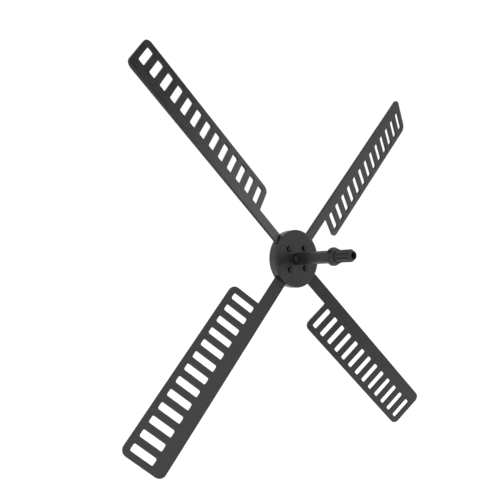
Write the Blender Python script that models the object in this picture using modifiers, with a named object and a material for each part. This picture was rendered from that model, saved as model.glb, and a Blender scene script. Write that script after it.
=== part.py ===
"""A four-sail latticed rotor that spins on a hollow stub spigot. Metres, +Z up.

The spin axis is the Y axis. The splined end of the spigot points to -Y and the rotor is at +Y.
The origin is on the axis, level with the shoulder of the stop collar, where the spigot seats.
Both frame empties turn their local +Z to world -Y, so each piece below is laid out in a frame
whose X is to the right, whose Y is up and whose Z runs along the spigot to its splined end.
"""

import math

import bmesh
import bpy
from mathutils import Matrix, Vector

MM = 0.001

# Clearances between neighbouring pieces.
GAP = 0.3 * MM
CLOSE_GAP = 0.15 * MM

# Sails: a narrow arm and a wider slotted vane, cut from one flat plate.
SAIL_COUNT = 4
FIRST_SAIL_ANGLE = math.radians(45)
TIP_RADIUS = 150 * MM
ROOT_RADIUS = 5.2 * MM
VANE_START = 38.6 * MM
ARM_HALF_WIDTH = 3.85 * MM
VANE_EDGE = 22.85 * MM
VANE_CORNER = 4.0 * MM
NOTCH_CORNER = 0.6 * MM
ROOT_CORNER = 0.4 * MM
PLATE = 1.5 * MM
SAIL_PITCH = math.radians(20)
SAIL_CONE = math.radians(1)
SLOT_COUNT = 13
SLOT_PITCH = 8.32 * MM
SLOT_WIDTH = 4.25 * MM
SLOT_INNER_EDGE = 4.5 * MM
SLOT_OUTER_EDGE = 19.0 * MM
SLOT_CORNER = 0.9 * MM

# Hub: a round body with a rim, and a clamp plate let into its back.
HUB_RADIUS = 17.65 * MM
HUB_FRONT = -33.8 * MM
HUB_THICKNESS = 6.3 * MM
HUB_FRONT_WALL = 1.6 * MM
HUB_RIM = 2.1 * MM
HUB_CHAMFER = 0.7 * MM
HUB_BACK = HUB_FRONT - HUB_THICKNESS
SAIL_PLANE = HUB_FRONT - HUB_THICKNESS / 2

# Small screws that clamp the sail roots.
SCREW_CIRCLE = 8.8 * MM
SCREW_RADIUS = 0.8 * MM
SCREW_HEAD_RADIUS = 1.6 * MM
SCREW_HEAD_HEIGHT = 1.5 * MM
SCREW_SINK = 0.5 * MM
SCREW_END = 2.1 * MM
DRIVE_SLOT_WIDTH = 0.45 * MM
DRIVE_SLOT_DEPTH = 0.45 * MM
SCREW_NUT_FLATS = 3.2 * MM
SCREW_NUT_HEIGHT = 1.3 * MM
ROOT_HOLE_RADIUS = 1.4 * MM

# Spindle bolt, which turns with the hub inside the spigot.
BOLT_RADIUS = 1.0 * MM
BOLT_HEAD_RADIUS = 1.55 * MM
BOLT_HEAD_HEIGHT = 1.6 * MM
BOLT_SOCKET_RADIUS = 0.85 * MM
BOLT_SOCKET_DEPTH = 0.9 * MM
NUT_FLATS = 4.0 * MM
NUT_HEIGHT = 1.6 * MM
WASHER_RADIUS = 2.5 * MM
WASHER_HEIGHT = 0.4 * MM
THRUST_WASHER_RADIUS = 3.4 * MM
THRUST_WASHER_HEIGHT = 0.5 * MM

# Spigot: a hollow sleeve with a splined end, and a stop collar held by a set screw.
SLEEVE_RADIUS = 3.75 * MM
SPLINE_RADIUS = 3.64 * MM
SPIGOT_END = 11.6 * MM
END_CHAMFER_LENGTH = 1.85 * MM
END_CHAMFER_DEPTH = 1.3 * MM
END_BORE_RADIUS = 1.85 * MM
SLEEVE_BORE_RADIUS = 2.3 * MM
WEB_BACK = -1.0 * MM
WEB_FRONT = 0.5 * MM
SPLINE_COUNT = 10
SPLINE_GROOVE_WIDTH = 0.9 * MM
SPLINE_GROOVE_DEPTH = 0.42 * MM
SPLINE_START = 0.8 * MM
FLAT_DISTANCE = 3.03 * MM
FLAT_MARGIN = 1.0 * MM
COLLAR_LENGTH = 5.0 * MM
COLLAR_RADIUS = 5.35 * MM
COLLAR_LAND_START = 2.7 * MM
COLLAR_LAND_END = 4.5 * MM
COLLAR_FACE_RADIUS = 4.25 * MM
SET_SCREW_ANGLE = math.radians(145)
SET_SCREW_PLACE = 2.3 * MM
SET_SCREW_TOP = 4.8 * MM
SET_SCREW_RADIUS = 0.85 * MM
SET_SCREW_SOCKET = 0.45 * MM
BUSH_RADIUS = 2.0 * MM
BUSH_LENGTH = 6.0 * MM

# Facets round a turned piece, and points on a rounded corner.
HUB_STEPS = 80
SHAFT_STEPS = 40
SMALL_STEPS = 24
CORNER_STEPS = 4
SMOOTH_ANGLE = math.radians(35)


def clear_scene():
    for old in list(bpy.data.objects):
        bpy.data.objects.remove(old, do_unlink=True)


def new_collection(name):
    collection = bpy.data.collections.new(name)
    bpy.context.scene.collection.children.link(collection)
    return collection


def new_material(name, colour, roughness, metallic):
    material = bpy.data.materials.new(name)
    material.use_nodes = True
    shader = material.node_tree.nodes["Principled BSDF"]
    shader.inputs["Base Color"].default_value = (*colour, 1)
    shader.inputs["Roughness"].default_value = roughness
    shader.inputs["Metallic"].default_value = metallic
    return material


def new_frame(name):
    frame = bpy.data.objects.new(name, None)
    frame.rotation_euler = (math.radians(90), 0, 0)
    PARTS.objects.link(frame)
    return frame


def place(obj, frame, location=(0, 0, 0), rotation=(0, 0, 0)):
    obj.parent = frame
    obj.location = location
    obj.rotation_euler = rotation
    return obj


def add_part(name, mesh, material):
    obj = bpy.data.objects.new(name, mesh)
    mesh.materials.clear()
    mesh.materials.append(material)
    PARTS.objects.link(obj)
    return obj


def add_cutter(name, mesh):
    obj = bpy.data.objects.new(name, mesh)
    obj.hide_render = True
    obj.display_type = "WIRE"
    CUTTERS.objects.link(obj)
    return obj


def turned_mesh(name, profile, closed):
    """The profile's (radius, z) points, as edges at +X for a Screw modifier to turn."""
    mesh = bpy.data.meshes.new(name)
    points = [(radius, 0, z) for radius, z in profile]
    edges = [(i, i + 1) for i in range(len(points) - 1)]
    if closed:
        edges.append((len(points) - 1, 0))
    mesh.from_pydata(points, edges, [])
    return mesh


def turn(obj, steps):
    screw = obj.modifiers.new("Turn", "SCREW")
    screw.axis = "Z"
    screw.steps = steps
    screw.render_steps = steps
    screw.use_merge_vertices = True
    screw.merge_threshold = 0.000001
    screw.use_smooth_shade = True


def add_turned(name, profile, material, steps, closed=True):
    obj = add_part(name, turned_mesh(name, profile, closed), material)
    turn(obj, steps)
    return obj


def ring_profile(inner, outer, bottom, top, chamfer=0.0):
    """A washer's or bush's section: down the outer side, then up the bore."""
    if not chamfer:
        return [(inner, top), (outer, top), (outer, bottom), (inner, bottom)]
    return [
        (inner, top),
        (outer - chamfer, top),
        (outer, top - chamfer),
        (outer, bottom + chamfer),
        (outer - chamfer, bottom),
        (inner, bottom),
    ]


def cylinder_mesh(name, radius, bottom, top, x=0.0, y=0.0, steps=SMALL_STEPS):
    mesh = bpy.data.meshes.new(name)
    bm = bmesh.new()
    place_at = Matrix.Translation((x, y, (bottom + top) / 2))
    bmesh.ops.create_cone(
        bm, cap_ends=True, segments=steps, radius1=radius, radius2=radius,
        depth=top - bottom, matrix=place_at,
    )
    bm.to_mesh(mesh)
    bm.free()
    return mesh


def boxes_mesh(name, boxes):
    """One mesh of (matrix, size) boxes that don't meet."""
    mesh = bpy.data.meshes.new(name)
    bm = bmesh.new()
    for matrix, size in boxes:
        bmesh.ops.create_cube(bm, size=1, matrix=matrix @ Matrix.Diagonal((*size, 1)))
    bm.to_mesh(mesh)
    bm.free()
    return mesh


def cut(obj, cutter):
    modifier = obj.modifiers.new(cutter.name, "BOOLEAN")
    modifier.operation = "DIFFERENCE"
    modifier.object = cutter


def shade(obj):
    mesh = obj.data
    mesh.shade_smooth()
    mesh.set_sharp_from_angle(angle=SMOOTH_ANGLE)


def rounded_outline(corners):
    """The points round a closed outline whose (x, y, radius) corners are rounded off."""
    points = []
    for index, (x, y, radius) in enumerate(corners):
        corner = Vector((x, y))
        before = Vector(corners[index - 1][:2]) - corner
        after = Vector(corners[(index + 1) % len(corners)][:2]) - corner
        before.normalize()
        after.normalize()
        half_angle = before.angle(after) / 2
        centre = corner + (before + after).normalized() * (radius / math.sin(half_angle))
        reach = radius / math.tan(half_angle)
        start = corner + before * reach - centre
        end = corner + after * reach - centre
        turn_angle = start.angle_signed(end)
        for step in range(CORNER_STEPS + 1):
            turned = start.copy()
            turned.rotate(Matrix.Rotation(-turn_angle * step / CORNER_STEPS, 2))
            points.append(centre + turned)
    return points


def circle_outline(x, y, radius, steps=SMALL_STEPS):
    angles = [2 * math.pi * step / steps for step in range(steps)]
    return [Vector((x + radius * math.cos(a), y + radius * math.sin(a))) for a in angles]


def plate_mesh(name, outlines, thickness):
    """A flat plate from closed outlines, the first outside and the rest holes in it."""
    curve = bpy.data.curves.new(name, "CURVE")
    curve.dimensions = "2D"
    curve.fill_mode = "BOTH"
    curve.extrude = thickness / 2
    for outline in outlines:
        spline = curve.splines.new("POLY")
        spline.points.add(len(outline) - 1)
        for point, (x, y) in zip(spline.points, outline):
            point.co = (x, y, 0, 1)
        spline.use_cyclic_u = True
    guide = bpy.data.objects.new(name, curve)
    CUTTERS.objects.link(guide)
    graph = bpy.context.evaluated_depsgraph_get()
    mesh = bpy.data.meshes.new_from_object(guide.evaluated_get(graph))
    bpy.data.objects.remove(guide)
    bm = bmesh.new()
    bm.from_mesh(mesh)
    bmesh.ops.remove_doubles(bm, verts=bm.verts, dist=0.000001)
    bmesh.ops.recalc_face_normals(bm, faces=bm.faces)
    bm.to_mesh(mesh)
    bm.free()
    return mesh


def sail_angles():
    return [FIRST_SAIL_ANGLE + 2 * math.pi * index / SAIL_COUNT for index in range(SAIL_COUNT)]


def sail_rotation(angle):
    """Turns a plate's Y clockwise round the hub, pitched back from the spigot's side."""
    return (math.pi + SAIL_PITCH, -SAIL_CONE, angle)


def sail_matrix(angle):
    turn_about = Matrix.Rotation(angle, 4, "Z") @ Matrix.Rotation(-SAIL_CONE, 4, "Y")
    return Matrix.Translation((0, 0, SAIL_PLANE)) @ turn_about @ Matrix.Rotation(
        math.pi + SAIL_PITCH, 4, "X"
    )


def sail_outlines():
    edge = rounded_outline([
        (ROOT_RADIUS, -ARM_HALF_WIDTH, ROOT_CORNER),
        (TIP_RADIUS, -ARM_HALF_WIDTH, VANE_CORNER),
        (TIP_RADIUS, VANE_EDGE, VANE_CORNER),
        (VANE_START, VANE_EDGE, VANE_CORNER),
        (VANE_START, ARM_HALF_WIDTH, NOTCH_CORNER),
        (ROOT_RADIUS, ARM_HALF_WIDTH, ROOT_CORNER),
    ])
    outlines = [edge, circle_outline(SCREW_CIRCLE, 0, ROOT_HOLE_RADIUS)]
    vane_middle = (VANE_START + TIP_RADIUS) / 2
    for index in range(SLOT_COUNT):
        middle = vane_middle + (index - (SLOT_COUNT - 1) / 2) * SLOT_PITCH
        near = middle - SLOT_WIDTH / 2
        far = middle + SLOT_WIDTH / 2
        outlines.append(rounded_outline([
            (near, SLOT_INNER_EDGE, SLOT_CORNER),
            (far, SLOT_INNER_EDGE, SLOT_CORNER),
            (far, SLOT_OUTER_EDGE, SLOT_CORNER),
            (near, SLOT_OUTER_EDGE, SLOT_CORNER),
        ]))
    return outlines


def make_sails():
    mesh = plate_mesh("sail", sail_outlines(), PLATE)
    for index, angle in enumerate(sail_angles()):
        sail = add_part(f"sail_{index + 1}", mesh, DARK_PLATE)
        place(sail, ROTOR, (0, 0, SAIL_PLANE), sail_rotation(angle))


def root_slots():
    """The slanted slots that the sail roots slide into, one box a sail."""
    inner = ROOT_RADIUS - GAP
    outer = HUB_RADIUS + HUB_RIM
    size = (outer - inner, 2 * (ARM_HALF_WIDTH + GAP), PLATE + 2 * GAP)
    middle = Matrix.Translation(((inner + outer) / 2, 0, 0))
    return boxes_mesh("root_slots", [(sail_matrix(angle) @ middle, size) for angle in sail_angles()])


def screw_places():
    return [(SCREW_CIRCLE * math.cos(a), SCREW_CIRCLE * math.sin(a)) for a in sail_angles()]


def drill(obj, frame, label, radius, bottom, top, places):
    for index, (x, y) in enumerate(places):
        name = f"{label}_{index + 1}"
        cutter = add_cutter(name, cylinder_mesh(name, radius, bottom, top, x, y))
        cut(obj, place(cutter, frame))


def make_hub(slots):
    recess = HUB_RADIUS - HUB_RIM
    wall = HUB_FRONT - HUB_FRONT_WALL
    bore = BOLT_RADIUS + GAP
    hub = add_turned("hub_body", [
        (bore, HUB_FRONT),
        (HUB_RADIUS - HUB_CHAMFER, HUB_FRONT),
        (HUB_RADIUS, HUB_FRONT - HUB_CHAMFER),
        (HUB_RADIUS, HUB_BACK + HUB_CHAMFER),
        (HUB_RADIUS - HUB_CHAMFER, HUB_BACK),
        (recess, HUB_BACK),
        (recess, wall),
        (bore, wall),
    ], DARK_HUB, HUB_STEPS)
    place(hub, ROTOR)
    cut(hub, slots)
    above = HUB_FRONT + 1 * MM
    drill(hub, ROTOR, "hub_hole", SCREW_RADIUS + GAP, HUB_BACK, above, screw_places())
    seat = SCREW_HEAD_RADIUS + GAP
    drill(hub, ROTOR, "hub_seat", seat, HUB_FRONT - SCREW_SINK, above, screw_places())

    top = wall - GAP
    bottom = HUB_BACK + GAP
    pocket = top - NUT_HEIGHT - GAP
    pocket_radius = NUT_FLATS / math.sqrt(3) + GAP
    outer = recess - GAP
    plate = add_turned("clamp_plate", [
        (pocket_radius, top),
        (outer, top),
        (outer, bottom),
        (bore, bottom),
        (bore, pocket),
        (pocket_radius, pocket),
    ], DARK_HUB, HUB_STEPS)
    place(plate, ROTOR)
    cut(plate, slots)
    below = HUB_BACK - 1 * MM
    drill(plate, ROTOR, "plate_hole", SCREW_RADIUS + GAP, below, HUB_FRONT, screw_places())


def make_clamp_screws():
    seat = HUB_FRONT - SCREW_SINK + GAP
    top = seat + SCREW_HEAD_HEIGHT
    end = HUB_BACK - SCREW_END
    bevel = 0.2 * MM
    profile = [
        (0, top),
        (SCREW_HEAD_RADIUS - bevel, top),
        (SCREW_HEAD_RADIUS, top - bevel),
        (SCREW_HEAD_RADIUS, seat),
        (SCREW_RADIUS, seat),
        (SCREW_RADIUS, end + bevel),
        (SCREW_RADIUS - bevel, end),
        (0, end),
    ]
    for index, ((x, y), angle) in enumerate(zip(screw_places(), sail_angles())):
        screw = add_turned(f"clamp_screw_{index + 1}", profile, STEEL, SMALL_STEPS, closed=False)
        place(screw, ROTOR, (x, y, 0))
        size = (3 * SCREW_HEAD_RADIUS, DRIVE_SLOT_WIDTH, 2 * DRIVE_SLOT_DEPTH)
        name = f"drive_slot_{index + 1}"
        middle = Matrix.Translation((x, y, top)) @ Matrix.Rotation(angle + index, 4, "Z")
        slot = add_cutter(name, boxes_mesh(name, [(middle, size)]))
        cut(screw, place(slot, ROTOR))


def hex_nut(name, flats, hole, bottom, top, x=0.0, y=0.0, spin=0.0):
    nut = add_part(name, cylinder_mesh(name, flats / math.sqrt(3), bottom, top, steps=6), STEEL)
    place(nut, ROTOR, (x, y, 0), (0, 0, spin))
    margin = 1 * MM
    bore_name = f"{name}_bore"
    bore = add_cutter(bore_name, cylinder_mesh(bore_name, hole, bottom - margin, top + margin, x, y))
    cut(nut, place(bore, ROTOR))


def make_clamp_nuts():
    top = HUB_BACK
    for index, ((x, y), angle) in enumerate(zip(screw_places(), sail_angles())):
        hex_nut(
            f"clamp_nut_{index + 1}", SCREW_NUT_FLATS, SCREW_RADIUS + GAP,
            top - SCREW_NUT_HEIGHT, top, x, y, angle,
        )


def make_spindle():
    inner_top = HUB_FRONT - HUB_FRONT_WALL - GAP
    hex_nut("hub_nut", NUT_FLATS, BOLT_RADIUS + GAP, inner_top - NUT_HEIGHT, inner_top)
    washer_top = HUB_BACK
    washer_bottom = washer_top - WASHER_HEIGHT
    washer = ring_profile(BOLT_RADIUS + GAP, WASHER_RADIUS, washer_bottom, washer_top)
    place(add_turned("back_washer", washer, STEEL, SMALL_STEPS), ROTOR)
    lock_top = washer_bottom - GAP
    lock_bottom = lock_top - NUT_HEIGHT
    hex_nut("lock_nut", NUT_FLATS, BOLT_RADIUS + GAP, lock_bottom, lock_top)

    seat = WEB_FRONT + GAP
    head = seat + BOLT_HEAD_HEIGHT
    end = lock_bottom - 0.8 * MM
    bevel = 0.25 * MM
    bolt = add_turned("spindle_bolt", [
        (0, head - BOLT_SOCKET_DEPTH),
        (BOLT_SOCKET_RADIUS, head - BOLT_SOCKET_DEPTH),
        (BOLT_SOCKET_RADIUS, head),
        (BOLT_HEAD_RADIUS - bevel, head),
        (BOLT_HEAD_RADIUS, head - bevel),
        (BOLT_HEAD_RADIUS, seat),
        (BOLT_RADIUS, seat),
        (BOLT_RADIUS, end + bevel),
        (BOLT_RADIUS - bevel, end),
        (0, end),
    ], STEEL, SMALL_STEPS, closed=False)
    place(bolt, ROTOR)

    thrust_bottom = HUB_FRONT + GAP
    thrust_top = thrust_bottom + THRUST_WASHER_HEIGHT
    thrust = ring_profile(BOLT_RADIUS + GAP, THRUST_WASHER_RADIUS, thrust_bottom, thrust_top)
    place(add_turned("thrust_washer", thrust, DARK_HUB, SHAFT_STEPS), ROTOR)
    return thrust_top + GAP


def spline_grooves():
    """Boxes along the splined end, each reaching in from outside by the groove's depth."""
    reach = 2 * MM
    length = SPIGOT_END - SPLINE_START + reach
    size = (reach, SPLINE_GROOVE_WIDTH, length)
    distance = SPLINE_RADIUS - SPLINE_GROOVE_DEPTH + reach / 2
    boxes = []
    for index in range(SPLINE_COUNT):
        spin = Matrix.Rotation(2 * math.pi * (index + 0.5) / SPLINE_COUNT, 4, "Z")
        boxes.append((spin @ Matrix.Translation((distance, 0, SPLINE_START + length / 2)), size))
    return boxes_mesh("spline_grooves", boxes)


def make_sleeve(back):
    sleeve = add_turned("spigot_sleeve", [
        (END_BORE_RADIUS, SPIGOT_END),
        (SPLINE_RADIUS - END_CHAMFER_DEPTH, SPIGOT_END),
        (SPLINE_RADIUS, SPIGOT_END - END_CHAMFER_LENGTH),
        (SPLINE_RADIUS, CLOSE_GAP),
        (SLEEVE_RADIUS, 0),
        (SLEEVE_RADIUS, back),
        (SLEEVE_BORE_RADIUS, back),
        (SLEEVE_BORE_RADIUS, WEB_BACK),
        (BOLT_RADIUS + GAP, WEB_BACK),
        (BOLT_RADIUS + GAP, WEB_FRONT),
        (END_BORE_RADIUS, WEB_FRONT),
    ], DARK_SPIGOT, SHAFT_STEPS)
    place(sleeve, SPIGOT)
    cut(sleeve, place(add_cutter("spline_grooves", spline_grooves()), SPIGOT))

    flat_bottom = back + FLAT_MARGIN
    flat_top = -COLLAR_LENGTH - FLAT_MARGIN
    depth = 2 * MM
    size = (depth, 4 * SLEEVE_RADIUS, flat_top - flat_bottom)
    offset = FLAT_DISTANCE + depth / 2
    boxes = []
    for side in (-1, 1):
        place_at = Matrix.Translation((side * offset, 0, (flat_top + flat_bottom) / 2))
        boxes.append((place_at, size))
    cut(sleeve, place(add_cutter("sleeve_flats", boxes_mesh("sleeve_flats", boxes)), SPIGOT))


def make_bushes(back):
    starts = {"front_bush": back + GAP, "rear_bush": WEB_BACK - GAP - BUSH_LENGTH}
    for name, start in starts.items():
        section = ring_profile(BOLT_RADIUS + GAP, BUSH_RADIUS, start, start + BUSH_LENGTH, 0.2 * MM)
        place(add_turned(name, section, BRONZE, SMALL_STEPS), SPIGOT)


def make_collar():
    bore = SLEEVE_RADIUS + CLOSE_GAP
    collar = add_turned("stop_collar", [
        (bore, 0),
        (COLLAR_FACE_RADIUS, 0),
        (COLLAR_RADIUS, -COLLAR_LAND_START),
        (COLLAR_RADIUS, -COLLAR_LAND_END),
        (COLLAR_FACE_RADIUS, -COLLAR_LENGTH),
        (bore, -COLLAR_LENGTH),
    ], DARK_SPIGOT, SHAFT_STEPS)
    place(collar, SPIGOT)
    lean = Matrix.Rotation(SET_SCREW_ANGLE, 4, "Z") @ Matrix.Rotation(math.radians(90), 4, "Y")
    spot = (0, 0, -SET_SCREW_PLACE)
    hole = cylinder_mesh("set_screw_hole", SET_SCREW_RADIUS + CLOSE_GAP, 2 * MM, 8 * MM)
    cutter = place(add_cutter("set_screw_hole", hole), SPIGOT, spot, lean.to_euler())
    cut(collar, cutter)

    inner = SLEEVE_RADIUS + CLOSE_GAP
    socket_floor = SET_SCREW_TOP - SET_SCREW_SOCKET
    bevel = 0.1 * MM
    screw = add_turned("collar_set_screw", [
        (0, socket_floor),
        (SET_SCREW_SOCKET, socket_floor),
        (SET_SCREW_SOCKET, SET_SCREW_TOP),
        (SET_SCREW_RADIUS - bevel, SET_SCREW_TOP),
        (SET_SCREW_RADIUS, SET_SCREW_TOP - bevel),
        (SET_SCREW_RADIUS, inner + bevel),
        (SET_SCREW_RADIUS - bevel, inner),
        (0, inner),
    ], STEEL, SMALL_STEPS, closed=False)
    place(screw, SPIGOT, spot, lean.to_euler())


clear_scene()
PARTS = new_collection("sail_rotor")
CUTTERS = new_collection("cutters")
DARK_PLATE = new_material("dark_plate", (0.058, 0.058, 0.058), 0.55, 0.0)
DARK_HUB = new_material("dark_hub", (0.055, 0.055, 0.055), 0.5, 0.0)
DARK_SPIGOT = new_material("dark_spigot", (0.045, 0.045, 0.045), 0.5, 0.0)
STEEL = new_material("blackened_steel", (0.06, 0.06, 0.062), 0.4, 1.0)
BRONZE = new_material("bush_bronze", (0.35, 0.22, 0.1), 0.4, 1.0)
SPIGOT = new_frame("spigot_frame")
ROTOR = new_frame("rotor_frame")

make_sails()
make_hub(place(add_cutter("root_slots", root_slots()), ROTOR))
make_clamp_screws()
make_clamp_nuts()
SLEEVE_BACK = make_spindle()
make_sleeve(SLEEVE_BACK)
make_bushes(SLEEVE_BACK)
make_collar()
for part in PARTS.objects:
    if part.type == "MESH":
        shade(part)
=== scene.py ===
"""Looks of the latticed sail rotor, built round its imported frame. Metres, +Z up.

Every piece is laid out in the rotor's own frame: X to the right, Y up and Z along the spin axis
towards the splined end of the spigot. TURNED carries that frame into the world, where the
spin axis is Y and the splined end points to -Y.
"""

import math

import bmesh
import bpy
from mathutils import Matrix, Vector


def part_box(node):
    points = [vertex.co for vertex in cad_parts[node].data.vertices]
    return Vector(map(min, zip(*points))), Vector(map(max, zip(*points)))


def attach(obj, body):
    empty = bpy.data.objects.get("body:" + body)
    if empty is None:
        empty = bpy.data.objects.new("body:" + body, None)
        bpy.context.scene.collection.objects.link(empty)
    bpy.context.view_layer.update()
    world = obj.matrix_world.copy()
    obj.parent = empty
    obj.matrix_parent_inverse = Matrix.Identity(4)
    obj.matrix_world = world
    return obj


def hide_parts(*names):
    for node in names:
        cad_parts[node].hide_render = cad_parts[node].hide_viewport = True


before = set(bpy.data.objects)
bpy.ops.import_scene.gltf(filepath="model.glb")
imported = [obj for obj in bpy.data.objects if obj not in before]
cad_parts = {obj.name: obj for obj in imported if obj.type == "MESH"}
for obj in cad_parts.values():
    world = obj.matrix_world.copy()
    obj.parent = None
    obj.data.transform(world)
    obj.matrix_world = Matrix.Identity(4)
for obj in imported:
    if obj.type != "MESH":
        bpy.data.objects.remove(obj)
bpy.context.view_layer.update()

MM = 0.001
TURNED = Matrix.Rotation(math.radians(90), 4, "X")
TAU = 2 * math.pi
SHARP_ANGLE = math.radians(32)
BEVEL_ANGLE = math.radians(42)
ROD_STEPS = 48
PAST_FACE = 1 * MM

# Clearances of the frame's solids.
GAP = 0.3 * MM
CLOSE_GAP = 0.15 * MM

# Sails.
SAIL_COUNT = 4
FIRST_SAIL_ANGLE = math.radians(45)
TIP_RADIUS = 150 * MM
ROOT_RADIUS = 5.2 * MM
VANE_START = 38.6 * MM
ARM_HALF_WIDTH = 3.85 * MM
VANE_EDGE = 22.85 * MM
VANE_CORNER = 4.0 * MM
NOTCH_CORNER = 0.6 * MM
ROOT_CORNER = 0.4 * MM
PLATE = 1.5 * MM
SAIL_PITCH = math.radians(20)
SAIL_CONE = math.radians(1)
SLOT_COUNT = 13
SLOT_PITCH = 8.32 * MM
SLOT_WIDTH = 4.25 * MM
SLOT_INNER_EDGE = 4.5 * MM
SLOT_OUTER_EDGE = 19.0 * MM
SLOT_CORNER = 0.9 * MM
ROOT_HOLE_RADIUS = 1.4 * MM
PLATE_ROUND = 0.16 * MM
SLOT_OVERRUN = 2 * MM

# Spigot.
SPLINE_COUNT = 10
SPLINE_WIDTH = 0.9 * MM
SPLINE_DEPTH = 0.42 * MM
SPLINE_START = 0.8 * MM
FLAT_DISTANCE = 3.03 * MM
FLAT_MARGIN = 1.0 * MM
END_CHAMFER_LENGTH = 1.85 * MM
END_CHAMFER_DEPTH = 1.2 * MM
END_BORE_RADIUS = 1.85 * MM
SLEEVE_BORE_RADIUS = 2.3 * MM
WEB_BACK = -1.0 * MM
WEB_FRONT = 0.5 * MM
SPLINE_RADIUS = 3.64 * MM
SET_SCREW_ANGLE = math.radians(145)
SET_SCREW_PLACE = 2.3 * MM
SET_SCREW_RADIUS = 0.85 * MM

COLLAR_FACE_RADIUS = 4.25 * MM
COLLAR_LIP = 0.7 * MM
COLLAR_LAND_START = 2.7 * MM
COLLAR_LAND_MARGIN = 0.5 * MM
SET_SCREW_TOP = 4.8 * MM

# Studio.
FLOOR_DROP = 5 * MM
FLOOR_GLOW = 0.62

# Small hardware.
BOLT_RADIUS = 1.0 * MM
SCREW_RADIUS = 0.8 * MM
SCREW_SEAT_DEPTH = 0.5 * MM
SCREW_PITCH = 0.35 * MM
SCREW_THREAD_DEPTH = 0.14 * MM
BOLT_PITCH = 0.4 * MM
BOLT_THREAD_DEPTH = 0.16 * MM
BOLT_HEAD_HEIGHT = 1.6 * MM
BOLT_SOCKET_FLATS = 1.5 * MM
BOLT_SOCKET_DEPTH = 0.9 * MM
CLAMP_NUT_FLATS = 3.2 * MM
BOLT_NUT_FLATS = 4.0 * MM


def span(node):
    """A turned node's lowest and highest place along the axis, and its radius."""
    low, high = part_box(node)
    return -high.y, -low.y, (high.x - low.x) / 2


# ---------------------------------------------------------------- mesh tools


def corner_arc(corners, index):
    """The arc that rounds off one (x, y, radius) corner of a closed outline.

    Gives its centre, the vectors from there to its start and its end, and whether the corner
    bulges out of the outline.
    """
    x, y, radius = corners[index]
    corner = Vector((x, y))
    before = (Vector(corners[index - 1][:2]) - corner).normalized()
    after = (Vector(corners[(index + 1) % len(corners)][:2]) - corner).normalized()
    half = before.angle(after) / 2
    centre = corner + (before + after).normalized() * (radius / math.sin(half))
    start = corner + before * (radius / math.tan(half)) - centre
    end = corner + after * (radius / math.tan(half)) - centre
    return centre, start, end, before.cross(after) < 0


def arc_points(centre, start, end, steps):
    """Points from the start to the end of an arc, both included."""
    sweep = start.angle_signed(end)
    turns = [Matrix.Rotation(-sweep * step / steps, 2) for step in range(steps + 1)]
    return [centre + turn @ start for turn in turns]


def soften(corners, steps=4):
    """Points round a closed outline whose (x, y, radius) corners are rounded off."""
    points = []
    for index, (x, y, radius) in enumerate(corners):
        if radius <= 0:
            points.append(Vector((x, y)))
            continue
        centre, start, end, _ = corner_arc(corners, index)
        points += arc_points(centre, start, end, steps)
    return points


def skin(name, levels, steps, closed=True):
    """A turned solid: each level is (radius or a function of the angle, z), top to bottom outside."""
    bm = bmesh.new()
    rings = []
    for radius, z in levels:
        if not callable(radius) and radius < 1e-7:
            rings.append([bm.verts.new((0, 0, z))])
            continue
        ring = []
        for step in range(steps):
            angle = TAU * step / steps
            reach = radius(angle) if callable(radius) else radius
            ring.append(bm.verts.new((reach * math.cos(angle), reach * math.sin(angle), z)))
        rings.append(ring)
    pairs = list(zip(rings, rings[1:]))
    if closed:
        pairs.append((rings[-1], rings[0]))
    for upper, lower in pairs:
        for step in range(steps):
            following = (step + 1) % steps
            corners = [upper[step % len(upper)], lower[step % len(lower)]]
            if len(lower) > 1:
                corners.append(lower[following])
            if len(upper) > 1:
                corners.append(upper[following])
            bm.faces.new(corners)
    bmesh.ops.recalc_face_normals(bm, faces=bm.faces)
    mesh = bpy.data.meshes.new(name)
    bm.to_mesh(mesh)
    bm.free()
    return mesh


def turned(name, corners, steps, round_steps=3):
    """A turned solid from (radius, z, rounding) corners."""
    return skin(name, [(p.x, p.y) for p in soften(corners, round_steps)], steps)


def add_object(name, mesh, place=None):
    """An object in the rotor's frame, whose mesh is moved to its place there."""
    if place is not None:
        mesh.transform(place)
    obj = bpy.data.objects.new(name, mesh)
    bpy.context.scene.collection.objects.link(obj)
    obj.matrix_world = TURNED
    return obj


def cutter(bm):
    mesh = bpy.data.meshes.new("cutter")
    bm.to_mesh(mesh)
    bm.free()
    return add_object("cutter", mesh)


def cutter_box(size, matrix):
    bm = bmesh.new()
    bmesh.ops.create_cube(bm, size=1, matrix=matrix @ Matrix.Diagonal((*size, 1)))
    return cutter(bm)


def cutter_rod(radius, bottom, top, matrix):
    bm = bmesh.new()
    place = matrix @ Matrix.Translation((0, 0, (top + bottom) / 2))
    bmesh.ops.create_cone(
        bm, cap_ends=True, segments=ROD_STEPS, radius1=radius, radius2=radius,
        depth=top - bottom, matrix=place,
    )
    return cutter(bm)


def carve(obj, cutters, rounding):
    """Cuts the cutters out of the object, rounds the cut edges and keeps the result."""
    for tool in cutters:
        modifier = obj.modifiers.new("Cut", "BOOLEAN")
        modifier.object = tool
        modifier.operation = "DIFFERENCE"
        modifier.solver = "EXACT"
    bevel = obj.modifiers.new("Round", "BEVEL")
    bevel.width = rounding
    bevel.segments = 2
    bevel.limit_method = "ANGLE"
    bevel.angle_limit = BEVEL_ANGLE
    bevel.use_clamp_overlap = True
    apply_modifiers(obj)
    for tool in cutters:
        bpy.data.objects.remove(tool)


def apply_modifiers(obj):
    bpy.context.view_layer.update()
    graph = bpy.context.evaluated_depsgraph_get()
    mesh = bpy.data.meshes.new_from_object(obj.evaluated_get(graph))
    obj.modifiers.clear()
    obj.data = mesh


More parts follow.
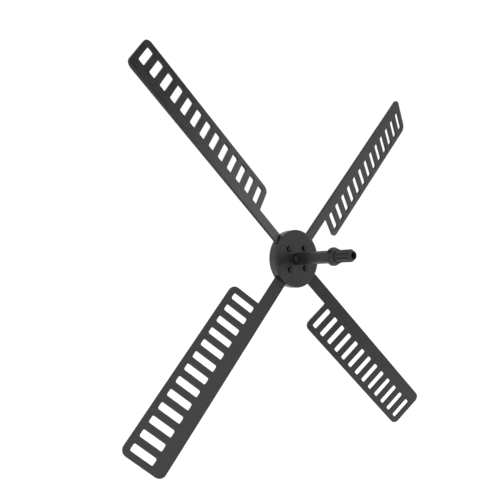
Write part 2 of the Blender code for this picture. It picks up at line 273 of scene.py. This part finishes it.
def shade(obj):
    """Smooth faces with sharp edges. A mesh that has smooth faces already keeps its flat ones."""
    if not any(face.use_smooth for face in obj.data.polygons):
        obj.data.shade_smooth()
    obj.data.set_sharp_from_angle(angle=SHARP_ANGLE)
    weighted = obj.modifiers.new("Weighted", "WEIGHTED_NORMAL")
    weighted.keep_sharp = True
    weighted.weight = 80


def finish_piece(obj, node, material, body):
    obj.data.materials.clear()
    obj.data.materials.append(material)
    shade(obj)
    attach(obj, body)
    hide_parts(node)
    return obj


# ---------------------------------------------------------------- materials


class Nodes:
    """A short way to write a material's node tree."""

    def __init__(self, name):
        self.material = bpy.data.materials.new(name)
        self.material.use_nodes = True
        self.tree = self.material.node_tree
        self.shader = self.tree.nodes["Principled BSDF"]

    def add(self, kind, inputs=None, **settings):
        node = self.tree.nodes.new(kind)
        for key, value in settings.items():
            setattr(node, key, value)
        for key, value in (inputs or {}).items():
            self.set(node, key, value)
        return node

    def set(self, node, key, value):
        if isinstance(value, bpy.types.NodeSocket):
            self.tree.links.new(value, node.inputs[key])
        else:
            node.inputs[key].default_value = value

    def noise(self, vector, scale, detail=3.0, roughness=0.55):
        node = self.add(
            "ShaderNodeTexNoise",
            {"Vector": vector, "Scale": scale, "Detail": detail, "Roughness": roughness},
        )
        return node.outputs["Fac"]

    def remap(self, value, low, high, to_low, to_high):
        node = self.add(
            "ShaderNodeMapRange",
            {"Value": value, "From Min": low, "From Max": high, "To Min": to_low, "To Max": to_high},
        )
        return node.outputs["Result"]

    def math(self, operation, first, second=0.0):
        node = self.add("ShaderNodeMath", {0: first, 1: second}, operation=operation)
        return node.outputs[0]

    def mix(self, amount, first, second):
        node = self.add("ShaderNodeMix", data_type="RGBA")
        self.set(node, 0, amount)
        self.set(node, 6, first)
        self.set(node, 7, second)
        return node.outputs[2]

    def bump(self, height, strength, distance, normal=None):
        inputs = {"Height": height, "Strength": strength, "Distance": distance}
        if normal is not None:
            inputs["Normal"] = normal
        return self.add("ShaderNodeBump", inputs).outputs["Normal"]

    def place(self, stretch=(1, 1, 1)):
        """Object coordinates, moved by a random step so that no two pieces match."""
        coordinates = self.add("ShaderNodeTexCoord").outputs["Object"]
        chance = self.add("ShaderNodeObjectInfo").outputs["Random"]
        offset = self.add("ShaderNodeCombineXYZ", {"X": chance, "Y": chance, "Z": chance})
        moved = self.add(
            "ShaderNodeVectorMath", {0: coordinates, 1: offset.outputs[0]}, operation="ADD"
        )
        scaled = self.add("ShaderNodeMapping", {"Vector": moved.outputs[0], "Scale": stretch})
        return scaled.outputs[0]

    def edges(self, radius):
        """1 on an edge of the piece and 0 a radius away from it."""
        rounded = self.add("ShaderNodeBevel", {"Radius": radius}, samples=6).outputs["Normal"]
        straight = self.add("ShaderNodeNewGeometry").outputs["Normal"]
        agree = self.add(
            "ShaderNodeVectorMath", {0: rounded, 1: straight}, operation="DOT_PRODUCT"
        ).outputs["Value"]
        return self.remap(agree, 1.0, 0.86, 0.0, 1.0)


def grey(value):
    return (value, value, value, 1.0)


def dark_plastic(name, tone, roughness):
    """Moulded near-black plastic: fine grain, slow mottling and faint scuffs, with painted shade
    darkening every edge.
    """
    n = Nodes(name)
    place = n.place()
    grain = n.noise(place, 2600, 4.0, 0.6)
    mottle = n.noise(place, 90, 5.0, 0.6)
    patches = n.noise(n.place(), 420, 3.0, 0.7)
    # Mask for painted shade along every convex and concave edge.
    edge = n.edges(0.6 * MM)
    cloud = n.noise(place, 850, 2.0, 0.5)
    blend = n.math("ADD", n.math("MULTIPLY", mottle, 0.35), n.math("MULTIPLY", cloud, 0.65))
    base = n.mix(n.remap(blend, 0.36, 0.64, 0, 1), grey(tone * 0.45), grey(tone * 1.55))
    speck = n.mix(n.remap(grain, 0.35, 0.7, 0.0, 0.55), base, grey(tone * 1.55))
    scuff = n.mix(n.remap(patches, 0.62, 0.78, 0.0, 0.35), speck, grey(tone * 1.9))
    # Painted shade: the edges are darkened towards a quarter of the tone.
    n.set(n.shader, "Base Color", n.mix(n.math("MULTIPLY", edge, 0.85), scuff, grey(tone * 0.25)))
    rough = n.remap(mottle, 0.25, 0.75, roughness - 0.06, roughness + 0.06)
    n.set(n.shader, "Roughness", n.math("ADD", rough, n.remap(patches, 0.6, 0.8, 0.0, 0.08)))
    fine = n.bump(grain, 0.35, 0.03 * MM)
    n.set(n.shader, "Normal", n.bump(mottle, 0.12, 0.2 * MM, fine))
    n.shader.inputs["IOR"].default_value = 1.45
    return n.material


def blackened_steel(name, tone):
    n = Nodes(name)
    place = n.place()
    rings = n.noise(n.place((1, 1, 8)), 1800, 3.0, 0.6)
    mottle = n.noise(place, 700, 4.0, 0.6)
    edge = n.edges(0.25 * MM)
    base = n.mix(n.remap(mottle, 0.3, 0.7, 0, 1), grey(tone * 0.7), grey(tone * 1.3))
    n.set(n.shader, "Base Color", n.mix(n.math("MULTIPLY", edge, 0.5), base, grey(tone * 1.8)))
    n.shader.inputs["Metallic"].default_value = 1.0
    n.set(n.shader, "Roughness", n.remap(rings, 0.3, 0.7, 0.3, 0.45))
    n.set(n.shader, "Normal", n.bump(rings, 0.25, 0.01 * MM))
    return n.material


def bearing_bronze(name):
    n = Nodes(name)
    place = n.place()
    pores = n.noise(place, 3000, 4.0, 0.7)
    stain = n.noise(place, 500, 3.0, 0.6)
    base = n.mix(n.remap(stain, 0.3, 0.7, 0, 1), (0.26, 0.15, 0.06, 1), (0.42, 0.27, 0.12, 1))
    n.set(n.shader, "Base Color", n.mix(n.remap(pores, 0.6, 0.72, 0, 0.7), base, grey(0.02)))
    n.shader.inputs["Metallic"].default_value = 1.0
    n.set(n.shader, "Roughness", n.remap(stain, 0.2, 0.8, 0.32, 0.5))
    n.set(n.shader, "Normal", n.bump(pores, 0.4, 0.02 * MM))
    return n.material


# ---------------------------------------------------------------- sails


def sail_angles():
    return [FIRST_SAIL_ANGLE + TAU * index / SAIL_COUNT for index in range(SAIL_COUNT)]


def sail_matrix(angle):
    lean = Matrix.Rotation(angle, 4, "Z") @ Matrix.Rotation(-SAIL_CONE, 4, "Y")
    pitch = Matrix.Rotation(math.pi + SAIL_PITCH, 4, "X")
    return Matrix.Translation((0, 0, SAIL_PLANE)) @ lean @ pitch


def ring_points(corners, inset, hole, steps):
    """A rounded outline moved into the plate by the inset, with the same number of points."""
    side = -1 if hole else 1
    points = []
    for index, (_, _, radius) in enumerate(corners):
        centre, start, end, bulges = corner_arc(corners, index)
        reach = radius - side * inset if bulges else radius + side * inset
        points += arc_points(centre, start.normalized() * reach, end, steps)
    return points


def plate(name, outlines, thickness, rounding, steps=6, round_steps=3):
    """A flat plate with rounded edges. The first outline is the outside and the rest are holes."""
    bm = bmesh.new()
    caps = {1: [], -1: []}
    for number, corners in enumerate(outlines):
        rings = []
        for side in (-1, 1):
            turn_steps = range(round_steps, -1, -1) if side < 0 else range(round_steps + 1)
            for step in turn_steps:
                angle = math.radians(90) * step / round_steps
                inset = rounding * (1 - math.cos(angle))
                z = side * (thickness / 2 - rounding + rounding * math.sin(angle))
                ring = ring_points(corners, inset, number > 0, steps)
                rings.append([bm.verts.new((p.x, p.y, z)) for p in ring])
        for lower, upper in zip(rings, rings[1:]):
            count = len(lower)
            for i in range(count):
                j = (i + 1) % count
                face = bm.faces.new((lower[i], lower[j], upper[j], upper[i]))
                face.smooth = True
        caps[-1].append(rings[0])
        caps[1].append(rings[-1])
    for rings in caps.values():
        edges = []
        for ring in rings:
            for i, vert in enumerate(ring):
                edges.append(bm.edges.get((vert, ring[(i + 1) % len(ring)])))
        bmesh.ops.triangle_fill(bm, edges=edges, use_beauty=True, use_dissolve=False)
    bmesh.ops.recalc_face_normals(bm, faces=bm.faces)
    mesh = bpy.data.meshes.new(name)
    bm.to_mesh(mesh)
    bm.free()
    return mesh


def sail_outlines():
    outlines = [[
        (ROOT_RADIUS, -ARM_HALF_WIDTH, ROOT_CORNER),
        (TIP_RADIUS, -ARM_HALF_WIDTH, VANE_CORNER),
        (TIP_RADIUS, VANE_EDGE, VANE_CORNER),
        (VANE_START, VANE_EDGE, VANE_CORNER),
        (VANE_START, ARM_HALF_WIDTH, NOTCH_CORNER),
        (ROOT_RADIUS, ARM_HALF_WIDTH, ROOT_CORNER),
    ]]
    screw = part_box("clamp_screw_1")
    centre = (screw[0] + screw[1]) / 2
    hole = math.hypot(centre.x, centre.z)
    r = ROOT_HOLE_RADIUS
    outlines.append([(hole - r, -r, r), (hole + r, -r, r), (hole + r, r, r), (hole - r, r, r)])
    middle_of_vane = (VANE_START + TIP_RADIUS) / 2
    for index in range(SLOT_COUNT):
        middle = middle_of_vane + (index - (SLOT_COUNT - 1) / 2) * SLOT_PITCH
        near = middle - SLOT_WIDTH / 2
        far = middle + SLOT_WIDTH / 2
        outlines.append([
            (near, SLOT_INNER_EDGE, SLOT_CORNER),
            (far, SLOT_INNER_EDGE, SLOT_CORNER),
            (far, SLOT_OUTER_EDGE, SLOT_CORNER),
            (near, SLOT_OUTER_EDGE, SLOT_CORNER),
        ])
    return outlines


def make_sails(material):
    mesh = plate("sail_plate", sail_outlines(), PLATE, PLATE_ROUND)
    for index, angle in enumerate(sail_angles()):
        name = f"sail_{index + 1}"
        sail = add_object(f"{name}_plate", mesh.copy(), sail_matrix(angle))
        finish_piece(sail, name, material, "rotor")


# ---------------------------------------------------------------- hub


def slot_cutters():
    length = HUB_RADIUS + SLOT_OVERRUN - ROOT_RADIUS + GAP
    size = (length, 2 * (ARM_HALF_WIDTH + GAP), PLATE + 2 * GAP)
    middle = Matrix.Translation((ROOT_RADIUS - GAP + length / 2, 0, 0))
    return [cutter_box(size, sail_matrix(angle) @ middle) for angle in sail_angles()]


def screw_places():
    places = []
    for index in range(SAIL_COUNT):
        low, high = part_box(f"clamp_screw_{index + 1}")
        centre = (low + high) / 2
        places.append(Matrix.Translation((centre.x, centre.z, 0)))
    return places


def make_hub(material):
    recess = span("clamp_plate")[2] + GAP
    wall = span("clamp_plate")[1] + GAP
    bore = BOLT_RADIUS + GAP
    mesh = turned("hub_shell", [
        (bore, HUB_FRONT, 0.1 * MM),
        (HUB_RADIUS - 0.9 * MM, HUB_FRONT, 0.3 * MM),
        (HUB_RADIUS, HUB_FRONT - 0.6 * MM, 0.3 * MM),
        (HUB_RADIUS, HUB_BACK + 0.5 * MM, 0.3 * MM),
        (HUB_RADIUS - 0.5 * MM, HUB_BACK, 0.2 * MM),
        (recess, HUB_BACK, 0.15 * MM),
        (recess, wall, 0.3 * MM),
        (bore, wall, 0.1 * MM),
    ], 160)
    hub = add_object("hub_shell", mesh)
    head_radius = span("clamp_screw_1")[2]
    tools = slot_cutters()
    for place in screw_places():
        tools.append(cutter_rod(SCREW_RADIUS + GAP, HUB_BACK, HUB_FRONT + PAST_FACE, place))
        seat = HUB_FRONT - SCREW_SEAT_DEPTH
        tools.append(cutter_rod(head_radius + GAP, seat, HUB_FRONT + PAST_FACE, place))
    carve(hub, tools, 0.12 * MM)
    finish_piece(hub, "hub_body", material, "rotor")


def make_clamp_plate(material):
    bottom, top, outer = span("clamp_plate")
    nut_bottom, _, nut_radius = span("hub_nut")
    pocket_radius = nut_radius * 2 / math.sqrt(3) + GAP
    bore = BOLT_RADIUS + GAP
    mesh = turned("back_plate", [
        (pocket_radius, top, 0.1 * MM),
        (outer, top, 0.15 * MM),
        (outer, bottom, 0.3 * MM),
        (outer - 1.6 * MM, bottom, 0.1 * MM),
        (outer - 1.9 * MM, bottom + 0.15 * MM, 0.1 * MM),
        (outer - 2.2 * MM, bottom, 0.1 * MM),
        (bore, bottom, 0.1 * MM),
        (bore, nut_bottom - GAP, 0.1 * MM),
        (pocket_radius, nut_bottom - GAP, 0.1 * MM),
    ], 144, round_steps=2)
    plate_obj = add_object("back_plate", mesh)
    tools = slot_cutters()
    for place in screw_places():
        tools.append(cutter_rod(SCREW_RADIUS + GAP, HUB_BACK - PAST_FACE, HUB_FRONT, place))
    carve(plate_obj, tools, 0.08 * MM)
    finish_piece(plate_obj, "clamp_plate", material, "rotor")


# ---------------------------------------------------------------- screws, nuts and washers


def threaded_levels(radius, pitch, start, end, depth):
    """Levels down a thread from start to end, whose ridge climbs once a turn."""
    count = max(2, int((start - end) / (pitch / 8)))
    levels = []
    for index in range(count + 1):
        z = start + (end - start) * index / count
        fade = min(1, index / 8, (count - index) / 6)

        def reach(angle, z=z, fade=fade):
            wave = 0.5 - 0.5 * math.cos(TAU * z / pitch - angle)
            return radius - depth * fade * wave

        levels.append((reach, z))
    return levels


def make_screws(material):
    for index, place in enumerate(screw_places()):
        name = f"clamp_screw_{index + 1}"
        end, top, head = span(name)
        seat = HUB_FRONT - SCREW_SEAT_DEPTH + GAP
        crown = soften([
            (0, top, 0), (head, top, 0.28 * MM), (head, seat, 0.1 * MM), (SCREW_RADIUS, seat, 0),
        ], 4)
        levels = [(p.x, p.y) for p in crown]
        levels.append((SCREW_RADIUS, HUB_BACK + 1.5 * MM))
        levels += threaded_levels(
            SCREW_RADIUS, SCREW_PITCH, HUB_BACK + 1.4 * MM, end + 0.15 * MM, SCREW_THREAD_DEPTH
        )
        levels += [(SCREW_RADIUS - 0.2 * MM, end), (0, end)]
        screw = add_object(f"{name}_body", skin(name, levels, 36, closed=False), place)
        spin = Matrix.Rotation(sail_angles()[index] + index, 4, "Z")
        size = (4 * head, 0.45 * MM, 0.9 * MM)
        slot = cutter_box(size, place @ Matrix.Translation((0, 0, top)) @ spin)
        carve(screw, [slot], 0.06 * MM)
        finish_piece(screw, name, material, "rotor")


def hexagon(flats):
    """The reach by angle of a hexagon, given its width across flats."""
    def reach(angle):
        return flats / 2 / math.cos((angle + math.pi / 6) % (math.pi / 3) - math.pi / 6)

    return reach


def nut_mesh(name, flats, hole, bottom, top):
    """A hexagon nut whose corners are turned down to a cone at both ends."""
    hexagon_reach = hexagon(flats)
    corner = flats / math.sqrt(3)
    face = flats / 2 * 0.97
    drop = (corner - face) * math.tan(math.radians(30))

    def cone(fraction):
        limit = face + (corner - face) * fraction
        return lambda angle: min(hexagon_reach(angle), limit)

    steps = [i / 5 for i in range(6)]
    levels = [(hole, top - 0.12 * MM), (hole + 0.12 * MM, top)]
    levels += [(cone(s), top - drop * s) for s in steps]
    levels += [(cone(1 - s), bottom + drop * (1 - s)) for s in steps]
    levels += [(hole + 0.12 * MM, bottom), (hole, bottom + 0.12 * MM)]
    return skin(name, levels, 72)


def make_nuts(material):
    for index, place in enumerate(screw_places()):
        name = f"clamp_nut_{index + 1}"
        bottom, top, _ = span(name)
        spin = Matrix.Rotation(sail_angles()[index], 4, "Z")
        mesh = nut_mesh(name, CLAMP_NUT_FLATS, SCREW_RADIUS + 0.02 * MM, bottom, top)
        nut = add_object(f"{name}_hex", mesh, place @ spin)
        finish_piece(nut, name, material, "rotor")
    for name in ("hub_nut", "lock_nut"):
        bottom, top, _ = span(name)
        mesh = nut_mesh(name, BOLT_NUT_FLATS, BOLT_RADIUS + 0.02 * MM, bottom, top)
        finish_piece(add_object(f"{name}_hex", mesh), name, material, "rotor")


def make_washer(node, material, body, rounding):
    bottom, top, outer = span(node)
    inner = BOLT_RADIUS + GAP
    mesh = turned(node, [
        (inner, top, rounding), (outer, top, rounding),
        (outer, bottom, rounding), (inner, bottom, rounding),
    ], 72)
    finish_piece(add_object(f"{node}_ring", mesh), node, material, body)


def make_bolt(material):
    end, top, head = span("spindle_bolt")
    seat = top - BOLT_HEAD_HEIGHT
    socket = hexagon(BOLT_SOCKET_FLATS)
    floor = top - BOLT_SOCKET_DEPTH
    levels = [(0, floor - 0.15 * MM), (socket, floor), (socket, top - 0.06 * MM)]
    levels += [(0.95 * MM, top), (head - 0.2 * MM, top), (head - 0.06 * MM, top - 0.06 * MM)]
    levels += [(head, top - 0.2 * MM), (head, seat), (BOLT_RADIUS, seat)]
    nut_top = span("hub_nut")[1]
    levels.append((BOLT_RADIUS, nut_top + 1.2 * MM))
    levels += threaded_levels(
        BOLT_RADIUS, BOLT_PITCH, nut_top + 1.0 * MM, end + 0.2 * MM, BOLT_THREAD_DEPTH
    )
    levels += [(BOLT_RADIUS - 0.25 * MM, end), (0, end)]
    bolt = add_object("spindle_bolt_body", skin("spindle_bolt", levels, 48, closed=False))
    finish_piece(bolt, "spindle_bolt", material, "rotor")


# ---------------------------------------------------------------- spigot


def smooth(value):
    value = max(0.0, min(1.0, value))
    return value * value * (3 - 2 * value)


def sleeve_outside(radius, z, back, collar_back):
    """The reach by angle at a level: two milled flats on the plain part, grooves on the end."""
    flat_low = back + FLAT_MARGIN
    flat_high = collar_back - FLAT_MARGIN
    run_out = 0.5 * MM
    flat = smooth(min(z - flat_low, flat_high - z) / run_out + 0.5)
    groove = smooth((z - SPLINE_START) / (0.7 * MM))

    def reach(angle):
        result = radius
        if flat > 0:
            across = abs(math.cos(angle))
            milled = FLAT_DISTANCE / across if across > 0.3 else radius
            result = min(radius, radius + (milled - radius) * flat)
        if groove > 0:
            share = TAU / SPLINE_COUNT
            off = abs(angle % share - share / 2) * SPLINE_RADIUS
            cut = smooth((SPLINE_WIDTH / 2 + 0.12 * MM - off) / (0.24 * MM))
            result = min(result, SPLINE_RADIUS - SPLINE_DEPTH * cut * groove)
        return result

    return reach


def make_sleeve(material):
    back, end, radius = span("spigot_sleeve")
    collar_back, _, _ = span("stop_collar")
    chamfer = end - END_CHAMFER_LENGTH
    profile = [(SPLINE_RADIUS - END_CHAMFER_DEPTH - 0.08 * MM, end)]
    profile += [(SPLINE_RADIUS - END_CHAMFER_DEPTH + 0.06 * MM, end - 0.08 * MM)]
    steps = 8
    for step in range(1, steps):
        share = step / steps
        profile.append((
            SPLINE_RADIUS - END_CHAMFER_DEPTH * (1 - share) - 0.02 * MM,
            end - END_CHAMFER_LENGTH * share,
        ))
    profile += [(SPLINE_RADIUS - 0.03 * MM, chamfer), (SPLINE_RADIUS, chamfer - 0.12 * MM)]
    for step in range(1, 9):
        profile.append((SPLINE_RADIUS, chamfer - 0.12 * MM - step * (chamfer - 1.6 * MM) / 8))
    for step in range(7):
        profile.append((SPLINE_RADIUS, 1.45 * MM - step * 0.12 * MM))
    profile += [(SPLINE_RADIUS, CLOSE_GAP), (radius, 0)]
    for edge in (collar_back - FLAT_MARGIN, back + FLAT_MARGIN):
        for step in range(-3, 4):
            profile.append((radius, edge - step * 0.1 * MM))
    profile += [(radius, back + 0.15 * MM), (radius - 0.05 * MM, back + 0.04 * MM)]
    profile += [(radius - 0.15 * MM, back)]
    levels = [(END_BORE_RADIUS + 0.05 * MM, end)]
    levels += [(sleeve_outside(r, z, back, collar_back), z) for r, z in profile]
    levels += [
        (SLEEVE_BORE_RADIUS, back), (SLEEVE_BORE_RADIUS, WEB_BACK),
        (BOLT_RADIUS + GAP, WEB_BACK), (BOLT_RADIUS + GAP, WEB_FRONT),
        (END_BORE_RADIUS, WEB_FRONT), (END_BORE_RADIUS, WEB_FRONT + 2.3 * MM),
        (END_BORE_RADIUS - 0.15 * MM, WEB_FRONT + 2.4 * MM),
        (END_BORE_RADIUS - 0.15 * MM, end - 0.7 * MM), (END_BORE_RADIUS, end - 0.25 * MM),
    ]
    sleeve = add_object("spigot_sleeve_body", skin("spigot_sleeve", levels, 240))
    finish_piece(sleeve, "spigot_sleeve", material, "spigot")


def make_collar(material, steel):
    bottom, top, radius = span("stop_collar")
    bore = span("spigot_sleeve")[2] + 0.02 * MM
    mesh = turned("stop_collar", [
        (bore, top, 0.04 * MM),
        (COLLAR_FACE_RADIUS, top, 0.05 * MM),
        (COLLAR_FACE_RADIUS, top - COLLAR_LIP, 0.2 * MM),
        (radius, top - COLLAR_LAND_START, 0.8 * MM),
        (radius, bottom + COLLAR_LAND_MARGIN, 0.45 * MM),
        (COLLAR_FACE_RADIUS, bottom, 0.15 * MM),
        (bore, bottom, 0.05 * MM),
    ], 120, round_steps=4)
    collar = add_object("stop_collar_ring", mesh)
    lean = Matrix.Translation((0, 0, -SET_SCREW_PLACE)) @ Matrix.Rotation(SET_SCREW_ANGLE, 4, "Z")
    lean = lean @ Matrix.Rotation(math.radians(90), 4, "Y")
    hole = cutter_rod(SET_SCREW_RADIUS + CLOSE_GAP, 2 * MM, 8 * MM, lean)
    carve(collar, [hole], 0.08 * MM)
    finish_piece(collar, "stop_collar", material, "spigot")

    inner = bore
    outer = SET_SCREW_TOP
    socket = hexagon(0.75 * MM)
    levels = [(0, outer - 0.5 * MM), (socket, outer - 0.45 * MM), (socket, outer - 0.03 * MM)]
    levels += [(0.46 * MM, outer), (SET_SCREW_RADIUS - 0.12 * MM, outer)]
    levels += [(SET_SCREW_RADIUS, outer - 0.12 * MM), (SET_SCREW_RADIUS, inner + 0.1 * MM)]
    levels += [(SET_SCREW_RADIUS - 0.1 * MM, inner), (0, inner)]
    screw = add_object("collar_grub", skin("collar_grub", levels, 36, closed=False), lean)
    finish_piece(screw, "collar_set_screw", steel, "spigot")


def make_bushes(material):
    for node in ("front_bush", "rear_bush"):
        bottom, top, outer = span(node)
        inner = BOLT_RADIUS + GAP
        mesh = turned(node, [
            (inner, top, 0.15 * MM), (outer, top, 0.25 * MM),
            (outer, bottom, 0.25 * MM), (inner, bottom, 0.15 * MM),
        ], 72)
        finish_piece(add_object(f"{node}_sleeve", mesh), node, material, "spigot")


# ---------------------------------------------------------------- studio


def make_floor():
    """A pale floor that looks even, and lights the object less from the front than from behind."""
    bm = bmesh.new()
    bmesh.ops.create_grid(bm, x_segments=1, y_segments=1, size=6)
    mesh = bpy.data.meshes.new("floor")
    bm.to_mesh(mesh)
    bm.free()
    floor = bpy.data.objects.new("floor", mesh)
    bpy.context.scene.collection.objects.link(floor)
    floor.location.z = -TIP_RADIUS + FLOOR_DROP
    n = Nodes("pale_floor")
    place = n.add("ShaderNodeTexCoord").outputs["Object"]
    n.set(n.shader, "Base Color", n.mix(n.noise(place, 3, 3.0), grey(0.56), grey(0.60)))
    depth = n.add("ShaderNodeSeparateXYZ", {0: place}).outputs["Y"]
    glow = n.remap(depth, -0.16, -0.02, 0.16, FLOOR_GLOW)
    seen = n.add("ShaderNodeLightPath").outputs["Is Camera Ray"]
    plain = n.math("MULTIPLY", seen, FLOOR_GLOW)
    n.set(n.shader, "Emission Strength", n.math("MAXIMUM", glow, plain))
    n.shader.inputs["Emission Color"].default_value = grey(1.0)
    n.shader.inputs["Roughness"].default_value = 0.8
    floor.data.materials.append(n.material)


def make_world():
    """A soft studio: white walls, brightest in front of the object and open to a dark corner
    high on the right. The camera itself sees plain white."""
    world = bpy.data.worlds.new("studio")
    bpy.context.scene.world = world
    world.use_nodes = True
    tree = world.node_tree
    background = tree.nodes["Background"]
    background.inputs["Color"].default_value = grey(1.0)
    direction = tree.nodes.new("ShaderNodeTexCoord").outputs["Generated"]

    def patch(towards, near, far, level):
        """The level inside an angle round a direction, falling to zero beyond it."""
        facing = tree.nodes.new("ShaderNodeVectorMath")
        facing.operation = "DOT_PRODUCT"
        facing.inputs[1].default_value = Vector(towards).normalized()
        tree.links.new(direction, facing.inputs[0])
        fade = tree.nodes.new("ShaderNodeMapRange")
        fade.interpolation_type = "SMOOTHSTEP"
        fade.inputs["From Min"].default_value = math.cos(math.radians(far))
        fade.inputs["From Max"].default_value = math.cos(math.radians(near))
        fade.inputs["To Min"].default_value = 0
        fade.inputs["To Max"].default_value = level
        tree.links.new(facing.outputs["Value"], fade.inputs["Value"])
        return fade.outputs["Result"]

    def combine(operation, first, second):
        node = tree.nodes.new("ShaderNodeMath")
        node.operation = operation
        for socket, value in zip(node.inputs, (first, second)):
            if isinstance(value, float):
                socket.default_value = value
            else:
                tree.links.new(value, socket)
        return node.outputs[0]

    front = patch((0.0, -1.0, 0.10), 8, 30, 0.7)
    band = patch((0.90, -0.26, 0.36), 7, 18, 1.25)
    right = patch((0.96, -0.18, -0.14), 14, 36, -0.5)
    corner = patch((0.74, -0.28, 0.64), 13, 18, 1.0)
    glow = combine("ADD", combine("ADD", front, band), combine("ADD", right, 0.92))
    strength = combine("MULTIPLY", glow, combine("SUBTRACT", 1.0, corner))
    rays = tree.nodes.new("ShaderNodeLightPath")
    pick = tree.nodes.new("ShaderNodeMix")
    tree.links.new(rays.outputs["Is Camera Ray"], pick.inputs[0])
    tree.links.new(strength, pick.inputs[2])
    pick.inputs[3].default_value = 1.05
    tree.links.new(pick.outputs[0], background.inputs["Strength"])


def make_camera():
    """The photographer's place, to the left of the spigot and level with it."""
    data = bpy.data.cameras.new("camera")
    data.lens = 45.435
    data.shift_y = 0.0325
    data.sensor_width = 36
    data.clip_start = 0.01
    camera = bpy.data.objects.new("camera", data)
    bpy.context.scene.collection.objects.link(camera)
    camera.location = (-261.49 * MM, -248.32 * MM, 0.84 * MM)
    turn = (89.456, 3.470, -38.513)
    camera.rotation_euler = [math.radians(angle) for angle in turn]
    bpy.context.scene.camera = camera


HUB_BACK, HUB_FRONT, HUB_RADIUS = span("hub_body")
SAIL_PLANE = (HUB_FRONT + HUB_BACK) / 2

# One moulded plastic in three tones fitted to how bright each part looks: the hub's lighter tone is
# painted light and the spigot's darker tone painted shade.
sail_plastic = dark_plastic("sail_plastic", 0.015, 0.34)
hub_plastic = dark_plastic("hub_plastic", 0.0185, 0.33)
spigot_plastic = dark_plastic("spigot_plastic", 0.013, 0.34)
steel = blackened_steel("blackened_steel", 0.055)
bronze = bearing_bronze("bearing_bronze")

make_camera()
make_world()
make_floor()
make_sails(sail_plastic)
make_hub(hub_plastic)
make_clamp_plate(hub_plastic)
make_screws(steel)
make_nuts(steel)
make_bolt(steel)
make_washer("back_washer", steel, "rotor", 0.08 * MM)
make_washer("thrust_washer", hub_plastic, "rotor", 0.1 * MM)
make_sleeve(spigot_plastic)
make_collar(spigot_plastic, steel)
make_bushes(bronze)

bpy.context.scene.view_settings.view_transform = "Standard"
